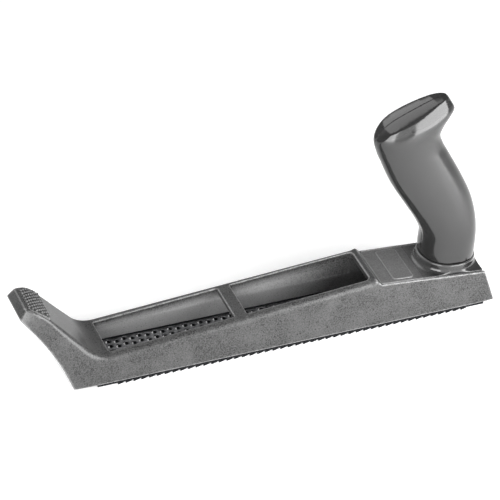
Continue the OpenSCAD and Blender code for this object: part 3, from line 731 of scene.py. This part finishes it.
def joined(name, *meshes):
    """Several meshes as one, keeping the normals and the value for worn and highlit edges of
    the first. The others are knurling, whose tips are lightened partly for rubbed paint and
    partly as a painted highlight."""
    places, faces, normals, wear_and_highlight, smooth, base = [], [], [], [], [], 0
    for i, mesh in enumerate(meshes):
        n = len(mesh.vertices)
        place = np.empty(n * 3)
        mesh.vertices.foreach_get("co", place)
        places.append(place.reshape(-1, 3))
        faces += [[base + v for v in p.vertices] for p in mesh.polygons]
        normal = np.zeros(n * 3, np.float32)
        out = np.hypot(places[-1][:, 0] - crest[0] * MM, places[-1][:, 2] - crest[1] * MM)
        # knurl tips: partly rubbed paint, partly a painted highlight where their flat tops catch the light
        rub_and_highlight = np.clip(1.3 * (out / MM - CREST_RADIUS - KNURL_SEAT) / KNURL_HEIGHT, 0, 1).astype(np.float32)
        if i == 0:
            corner = np.empty(len(mesh.loops) * 3, np.float32)
            mesh.corner_normals.foreach_get("vector", corner)
            owner = np.empty(len(mesh.loops), np.int32)
            mesh.loops.foreach_get("vertex_index", owner)
            spaced = normal.reshape(-1, 3)
            spaced[owner] = corner.reshape(-1, 3)
            mesh.attributes["wear_and_highlight"].data.foreach_get("value", rub_and_highlight)
        normals.append(normal.reshape(-1, 3))
        wear_and_highlight.append(rub_and_highlight)
        smooth += [i == 0] * len(mesh.polygons)
        base += n
    whole = bpy.data.meshes.new(name)
    whole.from_pydata(np.concatenate(places).tolist(), [], faces)
    whole.polygons.foreach_set("use_smooth", smooth)
    whole.attributes.new("wear_and_highlight", "FLOAT", "POINT").data.foreach_set("value", np.concatenate(wear_and_highlight))
    whole.normals_split_custom_set_from_vertices(np.concatenate(normals).tolist())
    return whole


def dress(piece, material, body, *nodes):
    """Gives a finished piece its material and its body, and hides the CAD nodes it stands for."""
    piece.data.materials.clear()
    piece.data.materials.append(material)
    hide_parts(*nodes)
    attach(piece, body)
    return piece


knurl = grown("knurl", knurl_tree(), Rows=8, Columns=9, Radius=(CREST_RADIUS + KNURL_SEAT) * MM,
              First=math.radians(24.6), Turn=1.85 / CREST_RADIUS, Across=2.8 * MM, Height=KNURL_HEIGHT * MM,
              Material=enamel)
body.data = joined("body_casting_cast", body.data, knurl)
dress(body, enamel, "frame", "body_casting")


# %% [markdown]
# ## The perforated blade
# The blade is one strip of steel punched with hundreds of teeth. A punch cuts a slot
# and presses the tongue behind it down, so that its edge bites below the sheet. Only
# two teeth are modelled, in a small rectangle of sheet, and Geometry Nodes tiles it.
# Neighbouring rectangles share their border vertices, which are then merged.

# %% One rectangle of sheet with two teeth
ROW, COLUMN = 4.8, 5.0
SHEET_LOW, SHEET_TOP, SHEET_HALF = 1.0, 1.9, 20
SLOT_X = 2.0


def tooth_tile():
    points, faces = [], []
    for x0, middle in ((0, -0.55), (ROW, 0.55)):
        half = COLUMN / 2
        plan = [(0, -half), (SLOT_X, -half), (ROW, -half), (ROW, half), (SLOT_X, half), (0, half),
                (SLOT_X + 2.4, middle - 1.2), (SLOT_X + 2.4, middle + 1.2), (SLOT_X, middle + 1.9),
                (SLOT_X - 1.5, middle + 1.3), (SLOT_X - 1.5, middle - 1.3), (SLOT_X, middle - 1.9),
                (SLOT_X, middle + 1.5), (SLOT_X, middle - 1.5)]
        level = [(0, 1, 11, 10), (1, 2, 6, 11), (2, 3, 7, 6), (3, 4, 8, 7), (4, 5, 9, 8),
                 (5, 0, 10, 9), (13, 6, 7, 12), (11, 6, 13), (7, 8, 12)]
        base = len(points)
        for low in (0, 1):
            for k, (x, y) in enumerate(plan):
                edge = (0.0 if low else 0.7) if k > 11 else (SHEET_LOW if low else SHEET_TOP)
                points.append((x0 + x - 0.2 * (low and k > 11), y, edge))
        faces += [tuple(base + v for v in f) for f in level]
        faces += [tuple(base + 14 + v for v in reversed(f)) for f in level]
        hole = [10, 11, 13, 12, 8, 9]
        faces += [(base + a, base + b, base + 14 + b, base + 14 + a)
                  for a, b in zip(hole, hole[1:] + hole[:1])]
    return put("tooth_tile", mesh_of("tooth_tile", points, faces))


def edge_tooth():
    """A small wedge pressed out of the bend along each edge."""
    points = [(0, -0.5, 0), (0, 0.5, 0), (3.6, -0.4, 0.9), (3.6, 0.4, 0.9), (0, -0.45, 1.3), (0, 0.45, 1.3)]
    faces = [(0, 1, 3, 2), (0, 4, 5, 1), (0, 2, 4), (1, 5, 3), (4, 2, 3, 5)]
    faces = [tuple(reversed(f)) for f in faces]
    return put("edge_tooth", mesh_of("edge_tooth", points, faces))


def rows_tree():
    tree, given = new_tree("rows", Part="Object", Rows="Int", Columns="Int", Step="Float",
                           Across="Float", Start="Vector", Material="Material")
    size = given.outputs
    length = sum_of(tree, "MULTIPLY", sum_of(tree, "SUBTRACT", size["Rows"], 1.0), size["Step"])
    width = sum_of(tree, "MULTIPLY", sum_of(tree, "SUBTRACT", size["Columns"], 1.0), size["Across"])
    grid = add(tree, "GeometryNodeMeshGrid",
               {"Size X": length, "Size Y": width,
                "Vertices X": size["Rows"], "Vertices Y": size["Columns"]})
    half = add(tree, "ShaderNodeCombineXYZ", {"X": sum_of(tree, "MULTIPLY", length, 0.5)})
    offset = add(tree, "ShaderNodeVectorMath", {0: half.outputs[0], 1: size["Start"]}, operation="ADD")
    moved = add(tree, "GeometryNodeTransform", {"Geometry": grid.outputs[0], "Translation": offset.outputs[0]})
    part = add(tree, "GeometryNodeObjectInfo", {"Object": size["Part"]})
    tiled = add(tree, "GeometryNodeInstanceOnPoints", {"Points": moved.outputs[0],
                                                       "Instance": part.outputs["Geometry"]})
    close_tree(tree, tiled.outputs[0], size["Material"])
    return tree


FIRST_ROW, TILES, ACROSS = -105.0, 23, 8
EDGES_APART = 42.8
LAST_ROW = FIRST_ROW + 2 * TILES * ROW
tile, wedge, tree = tooth_tile(), edge_tooth(), rows_tree()
field = grown("tooth_field", tree, Part=tile, Rows=TILES, Columns=ACROSS, Step=2 * ROW * MM,
              Across=COLUMN * MM, Start=(FIRST_ROW * MM, 0, 0), Material=steel_with_painted_shade)
edge_teeth = grown("edge_teeth", tree, Part=wedge, Rows=2 * TILES, Columns=2, Step=ROW * MM,
                   Across=EDGES_APART * MM, Start=(FIRST_ROW * MM, 0, 0), Material=steel_with_painted_shade)
for part in (tile, wedge):
    bpy.data.objects.remove(part)


# %% Border, lips and tabs of the blade
def swept(profile, stations):
    """A closed y, z profile carried along the stations in x, with flat ends."""
    n = len(profile)
    points = [(x, y, z) for x in stations for y, z in profile]
    faces = [(i * n + j, i * n + (j + 1) % n, (i + 1) * n + (j + 1) % n, (i + 1) * n + j)
             for i in range(len(stations) - 1) for j in range(n)]
    faces += [tuple(range(n))[::-1], tuple((len(stations) - 1) * n + j for j in range(n))]
    return mesh_of("swept", points, faces)


def prism(outline, half):
    """A closed x, z outline carried across from -half to half."""
    n = len(outline)
    points = [(x, y, z) for y in (-half, half) for x, z in outline]
    faces = [(j, (j + 1) % n, n + (j + 1) % n, n + j) for j in range(n)]
    return mesh_of("prism", points, faces + [tuple(range(n))[::-1], tuple(range(n, 2 * n))])


def sheet_band(xs, open_from, open_to, open_half):
    """Flat sheet between places in x, open in the middle from one place to another."""
    bands = []
    for x0, x1 in zip(xs, xs[1:]):
        spans = [(-SHEET_HALF, SHEET_HALF)]
        if open_from <= x0 < open_to:
            spans = [(-SHEET_HALF, -open_half), (open_half, SHEET_HALF)]
        for y0, y1 in spans:
            profile = [(y0, SHEET_LOW), (y1, SHEET_LOW), (y1, SHEET_TOP), (y0, SHEET_TOP)]
            bands.append(swept(profile, [x0, x1]))
    return bands


SHEET_START, SHEET_END, RAMP = -117.45, 125.5, -109.45
TAB_X, TAB_T = 121.9, 1.2
TOE_TAB_SLOT, FORK_SLOT = 13, 9
# the sheet's long edges turn up into a lip
lip = [(SHEET_HALF, SHEET_LOW), (21.2, SHEET_LOW), (21.75, 1.2), (22, 1.7), (22, 2.7),
       (21.1, 2.7), (21.1, 2.15), (20.85, SHEET_TOP), (SHEET_HALF, SHEET_TOP)]
other_lip = [(-y, z) for y, z in lip][::-1]
strips = [swept(edge, [SHEET_START, SHEET_END]) for edge in (lip, other_lip)]
strips += sheet_band([SHEET_START, RAMP, FIRST_ROW], SHEET_START, RAMP, TOE_TAB_SLOT)
strips += sheet_band([LAST_ROW, TAB_X + TAB_T, SHEET_END], TAB_X + TAB_T, SHEET_END, FORK_SLOT)
curl_low, curl_out, curl_in = PIN_Z - 2.95, 2.95, 2.05
toe_tab = ([(RAMP, SHEET_LOW), (PIN_X + 1, curl_low + 0.1)] + arc((PIN_X, PIN_Z), curl_out, 270, 90, 14)
           + arc((PIN_X, PIN_Z), curl_in, 90, 270, 14) + [(PIN_X + 1, curl_low + 1.0), (RAMP, SHEET_TOP)])
strips.append(prism(toe_tab[::-1], 12))
fork = [(-9, 1.0), (9, 1.0), (9, 14), (2.7, 14), (2.7, 5.1), (-2.7, 5.1), (-2.7, 14), (-9, 14)]
strips.append(swept(eased(fork, [0, 0, 1.5, 0.5, 1.2, 1.2, 0.5, 1.5]), [TAB_X, TAB_X + TAB_T]))

merged = bmesh.new()
for mesh in [field, edge_teeth] + strips:
    merged.from_mesh(mesh)
bmesh.ops.remove_doubles(merged, verts=merged.verts, dist=1e-6)
bmesh.ops.recalc_face_normals(merged, faces=merged.faces)
blade_mesh = bpy.data.meshes.new("blade_punched")
merged.to_mesh(blade_mesh)
merged.free()
dress(put("blade_punched", blade_mesh), steel_with_painted_shade, "blade", "blade")
print("blade:", len(blade_mesh.polygons), "faces")

# %% [markdown]
# ## The deck cover
# A moulding set into the deck: a thin plate with a blank raised panel, and the round
# boss that the handle turns on. The boss runs out into the plate in a deep cove, which
# catches the light in bright crescents. It is one field, like the casting.

# %% Deck cover
PLATE_START = RECESS_START + 0.15
PLATE_END = (DECK_END - BOSS_X) / math.cos(TILT) - 0.3
BOSS_RADIUS, BOSS_TOP, COVE = 17.75, 6.0, 3.0


def deck_cover(x, y, z):
    """The deck cover as a field, in millimetres."""
    u, w = on_deck(x, z)
    around = np.hypot(u, y)
    plan = rounded_box(u - (PLATE_START + PLATE_END) / 2, y, (PLATE_END - PLATE_START) / 2,
                       RECESS_HALF - 0.2, 1.9)
    plate = meet(plan, between(w, -PLATE, 0), 0.5)
    panel = rounded_box(u - RECESS_START - 9 - 6.65, y, 6.65, 15.5, 2.5)
    plate = join(plate, meet(panel, between(w, -1, 0.5), 0.15), 0.05)
    boss = meet(around - BOSS_RADIUS, between(w, -1, BOSS_TOP), 1.0)
    solid = meet(join(plate, boss, COVE), np.maximum(plan, -PLATE - w), 0.4)
    posts = np.maximum(np.hypot(u - POST_U, np.abs(y) - POST_Y) - 3.5, between(w, -UNDER_DECK, -1))
    solid = np.minimum(solid, posts)
    solid = join(solid, meet(around - 9, between(w, 0, 9), 0.5), 0.3)
    pilots = np.maximum(np.hypot(u - POST_U, np.abs(y) - POST_Y) - 1.5, w + 1.4)
    return cut(cut(solid, around - 3.3, 0.2), pilots, 0.1)


cover = skin("deck_plate_moulded", deck_cover, (60, -19, 17), (128, 19, 36), 0.4)
dress(cover, deck_abs, "frame", "deck_plate")

# %% [markdown]
# ## The handle
# The handle is moulded in two shells, screwed together on the middle plane and
# clamped on the boss by one long bolt. Its sections are ovals that lean forward as
# they rise. The head is cut off by a slanting, slightly crowned top, which leaves a
# leaf-shaped face with a crisp edge. Each shell is the same field cut on its own side,
# with a tiny round on the cut that shows as the parting line.

# %% Handle sections
# height, middle along x, half depth, half width, roundness
SECTIONS = np.array([
    (29.6, 109.1, 16.3, 16.3, 2.3), (35.1, 109.2, 16.5, 16.7, 2.35), (47.3, 109.7, 16.7, 16.4, 2.35),
    (57.3, 107.3, 18.4, 15.6, 2.35), (69.5, 102.5, 20.4, 14.4, 2.35), (85.1, 94.9, 21.5, 13.3, 2.3),
    (102.8, 86.8, 20.8, 12.6, 2.2), (109.5, 83.9, 20.4, 12.6, 2.15), (117.3, 82.2, 20.4, 12.9, 2.1),
    (123.0, 83.9, 21.4, 12.9, 2.0), (128.9, 87.7, 21.7, 11.9, 2.0), (131.5, 89.9, 21.1, 10.8, 2.0),
    (135.0, 92.2, 18.6, 8.9, 2.0), (138.0, 93.3, 15.6, 7.2, 2.0), (142.0, 94.5, 12.0, 5.8, 2.0)])
TOP_FACE = [(50, 0), (50, 100), (61.0, 114.5), (62.0, 118.6), (64.8, 122.6), (68.4, 126.5), (73.7, 129.7),
            (79.4, 132.2), (85.5, 134.6), (91.7, 137.0), (97.9, 139.1), (103.1, 140.2), (106.3, 140.4),
            (107.4, 139.3), (111.5, 131.2), (130, 100), (130, 0)]
TOP_FACE = eased(TOP_FACE, [0, 0, 2, 4, 6, 8, 9, 12, 12, 12, 12, 4, 0.6, 0.8, 3, 0, 0])
CROWN = 76.0
HANDLE_BASE = 6.35
WASHER_SEAT, WASHER_SEAT_R = 7.0, 14.95
SHELL = 3.0
SHELL_SCREWS = [(99.25, 47.92), (96.78, 81.71), (83.17, 111.68)]


def section_values(z):
    """Middle, half depth, half width and roundness at height z, on a smooth curve."""
    heights = SECTIONS[:, 0]
    z = np.clip(z, heights[0], heights[-1])
    i = np.clip(np.searchsorted(heights, z, "right") - 1, 0, len(heights) - 2)
    step = heights[i + 1] - heights[i]
    s = (z - heights[i]) / step
    slopes = np.gradient(SECTIONS[:, 1:], heights, axis=0)
    values = []
    for k in range(4):
        a, b = SECTIONS[i, k + 1], SECTIONS[i + 1, k + 1]
        ga, gb = slopes[i, k] * step, slopes[i + 1, k] * step
        values.append(a * (2 * s ** 3 - 3 * s * s + 1) + ga * (s ** 3 - 2 * s * s + s)
                      + b * (3 * s * s - 2 * s ** 3) + gb * (s ** 3 - s * s))
    return values


def handle_form(x, y, z):
    """Outside of the whole handle."""
    middle, deep, wide, power = section_values(z)
    off = x - middle
    out = np.hypot(off, y)
    share = ((np.abs(off) / deep) ** power + (np.abs(y) / wide) ** power) ** (1 / power)
    oval = out * (1 - 1 / np.maximum(share, 1e-3))
    return meet(oval, inside_outline(TOP_FACE, x, z + y * y / CROWN), 0.7)


def handle_shell(side):
    """Field of the shell on one side: +1 has the screw heads, -1 the threads."""
    def field(x, y, z):
        u, w = on_deck(x, z)
        form = handle_form(x, y, z)
        around = np.hypot(u, y)
        cavity = np.maximum(form + SHELL, WASHER_SEAT + 5 - w)
        posts = around - 9.5 + 20 * (w > 52)
        for px, pz in SHELL_SCREWS:
            posts = np.minimum(posts, np.hypot(x - px, z - pz) - 4)
        solid = cut(meet(form, HANDLE_BASE - w, 0.5), np.maximum(cavity, -posts), 0.3)
        solid = cut(solid, np.maximum(around - WASHER_SEAT_R, w - WASHER_SEAT), 0.1)
        bore = np.minimum(np.maximum(around - 3.3, w - 44.3), np.maximum(around - 9.1, w - 9.5))
        nut = np.minimum(np.maximum(around - 5.9, between(w, 35.9, 41.4)),
                         np.maximum(np.maximum(np.abs(u), np.abs(y)) - 7.1, between(w, 34, 36.1)))
        solid = cut(solid, np.minimum(bore, nut), 0.1)
        for px, pz in SHELL_SCREWS:
            out = np.hypot(x - px, z - pz)
            hole = out - (1.9 if side > 0 else 1.5)
            if side > 0:
                hole = np.minimum(hole, np.maximum(out - 3.7, 8 - y))
            else:
                hole = np.maximum(hole, -8.2 - y)
            solid = cut(solid, hole, 0.2)
        return meet(solid, -side * y, 0.15)
    return field


for side, name, node in ((-1, "handle_left_moulded", "handle_left"),
                         (1, "handle_right_moulded", "handle_right")):
    low, high = (60, -17.5, 28), (128, 0, 141)
    if side > 0:
        low, high = (60, 0, 28), (128, 17.5, 141)
    shell = skin(name, handle_shell(side), low, high, 0.7)
    dress(shell, gloss_abs, "handle", node)


# %% [markdown]
# ## Fasteners
# The screws, nuts, pin and washers are plain turned and pressed parts, so their CAD
# shapes are already right. They keep them and only get their real finishes.

# %% Finishes of the fasteners
FASTENERS = {"toe_pin": zinc, "draw_nut": black_oxide, "tension_screw": zinc,
             "tension_washer": zinc, "screw_clip": black_oxide, "deck_screws": zinc,
             "deck_washers": zinc, "swivel_washer": nylon, "handle_screws": zinc,
             "handle_bolt": zinc, "bolt_washer": zinc, "bolt_spring_washer": black_oxide,
             "nut_plate": zinc, "handle_nut": zinc}
for node, material in FASTENERS.items():
    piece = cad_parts[node]
    for place in piece.material_slots:
        place.material = material
print(len(FASTENERS), "fasteners finished")

# %% [markdown]
# ## Studio
# A plain pale floor and four large soft lights. The floor is brighter than the object
# everywhere, so its reflection draws the long soft bands on the glossy handle. A
# stronger light near the heel makes the side of the frame brighter towards it.

# %% Floor
paper, tree, shader, where = finish("matt_paper", Roughness=0.9)
wire(tree, shader, Base_Color=blend_colour(tree, noise(tree, where, 40.0), "#f2f2f2", "#f5f5f5"))
floor_mesh = bpy.data.meshes.new("floor")
floor_mesh.from_pydata([(-4, -4, 0), (4, -4, 0), (4, 4, 0), (-4, 4, 0)], [], [(0, 1, 2, 3)])
floor_mesh.materials.append(paper)
put("floor", floor_mesh)
# a light table: the floor also glows a little, which thins the shadows
shader.inputs["Emission Color"].default_value = linear("#ffffff")
shader.inputs["Emission Strength"].default_value = 0.3


# %% Lights
def softbox(name, place, size, power):
    """A square soft light facing the middle of the object."""
    lamp = put(name, bpy.data.lights.new(name, "AREA"))
    lamp.location = place
    lamp.data.size, lamp.data.energy = size, power
    lamp.rotation_mode = "QUATERNION"
    lamp.rotation_quaternion = (Vector(place) - Vector((0, 0, 0.04))).to_track_quat("Z", "Y")


softbox("heel_light", (0.30, -0.33, 0.15), 0.42, 4.8)
softbox("horn_light", (-0.36, -0.40, 0.20), 0.40, 3.2)
softbox("front_light", (-0.30, -1.00, 0.42), 0.9, 5.0)
softbox("back_light", (-0.30, 0.95, 0.92), 0.9, 5.0)
world = bpy.data.worlds.new("studio")
world.use_nodes = True
world.node_tree.nodes["Background"].inputs["Color"].default_value = linear("#9c9c9c")
bpy.context.scene.world = world
bpy.context.scene.view_settings.view_transform = "Standard"
